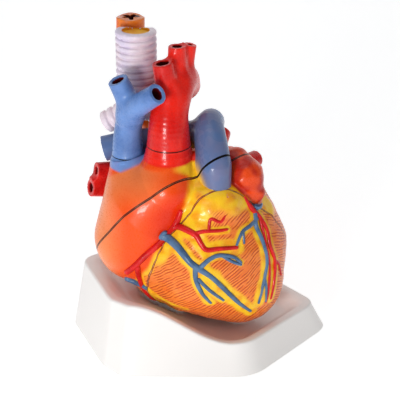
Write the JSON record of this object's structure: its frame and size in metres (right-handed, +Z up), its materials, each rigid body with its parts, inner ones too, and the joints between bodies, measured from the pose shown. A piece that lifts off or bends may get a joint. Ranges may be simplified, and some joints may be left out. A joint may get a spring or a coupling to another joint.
{
  "type": "heart anatomy model",
  "caption": "Enlarged human heart model that comes apart into lower and upper halves, front wall, vena cava, aorta, trachea and oesophagus, on a white sloping stand.",
  "frame": {"origin": "middle of the stand at the table, on the underside of its base plate", "axes": "+Z up, -Y toward the front of the stand, +X to the right of the front view"},
  "size_m": [0.2515, 0.1814, 0.3074],
  "materials": {
    "stand_white": "smooth gloss white moulded plastic",
    "plate_grey": "matt grey-white plastic plate",
    "steel": "turned steel",
    "magnet": "nickel-plated magnet",
    "heart_muscle": "hand-painted gloss, orange muscle with yellow fat",
    "atrium_orange": "hand-painted gloss orange",
    "artery_red": "gloss red paint",
    "vein_blue": "gloss steel-blue paint",
    "trunk_blue": "gloss slate-blue paint",
    "caval_blue": "gloss blue paint",
    "aorta_red": "gloss bright red paint",
    "trachea_lilac": "satin lilac-white paint",
    "lumen_yellow": "yellow-orange paint",
    "oesophagus_orange": "orange-brown paint",
    "lumen_dark": "dark red paint",
    "valve_cream": "cream paint"
  },
  "bodies": {
    "stand": {"stand_shell": "stand_white", "base_plate": "plate_grey", "base_plate_screws": "steel", "support_rod": "steel", "support_rod_nut": "steel"},
    "lower_half": {"lower_heart": "heart_muscle", "rod_sleeve": "steel", "lower_heart_arteries": "artery_red", "lower_heart_veins": "vein_blue", "pulmonary_trunk_root": "trunk_blue", "tricuspid_valve": "valve_cream", "mitral_valve": "valve_cream", "upper_half_pins": "steel", "front_wall_pins": "steel", "front_wall_magnets_rear": "magnet"},
    "front_wall": {"front_wall": "heart_muscle", "front_wall_arteries": "artery_red", "front_wall_veins": "vein_blue", "front_wall_magnets_front": "magnet"},
    "upper_half": {"upper_heart": "atrium_orange", "pulmonary_trunk": "trunk_blue", "right_pulmonary_veins": "artery_red", "left_pulmonary_veins": "artery_red", "aortic_collar": "aorta_red", "aortic_valve": "valve_cream", "caval_collar": "caval_blue"},
    "vena_cava": {"superior_vena_cava": "caval_blue"},
    "aorta": {"aorta": "aorta_red"},
    "trachea": {"trachea": "trachea_lilac", "trachea_lining": "lumen_yellow"},
    "oesophagus": {"oesophagus": "oesophagus_orange", "oesophagus_lining": "lumen_dark"}
  },
  "joints": [
    {"name": "heart_off_rod", "type": "slide", "parent": "stand", "child": "lower_half", "axis": [0, 0, 1], "range_m": [0, 0.042]},
    {"name": "front_wall_off", "type": "slide", "parent": "lower_half", "child": "front_wall", "axis": [0.3345, -0.9192, -0.2079], "range_m": [0, 0.01]},
    {"name": "upper_half_off", "type": "slide", "parent": "lower_half", "child": "upper_half", "axis": [-0.4716, 0.6037, 0.6428], "range_m": [0, 0.01]},
    {"name": "vena_cava_off", "type": "slide", "parent": "upper_half", "child": "vena_cava", "axis": [0, 0, 1], "range_m": [0, 0.0095]},
    {"name": "aorta_off", "type": "slide", "parent": "upper_half", "child": "aorta", "axis": [0, 0, 1], "range_m": [0, 0.0095]},
    {"name": "trachea_off", "type": "slide", "parent": "upper_half", "child": "trachea", "axis": [0, 0, 1], "range_m": [0, 0.01]},
    {"name": "oesophagus_off", "type": "slide", "parent": "upper_half", "child": "oesophagus", "axis": [0, 1, 0], "range_m": [0, 0.014]}
  ]
}
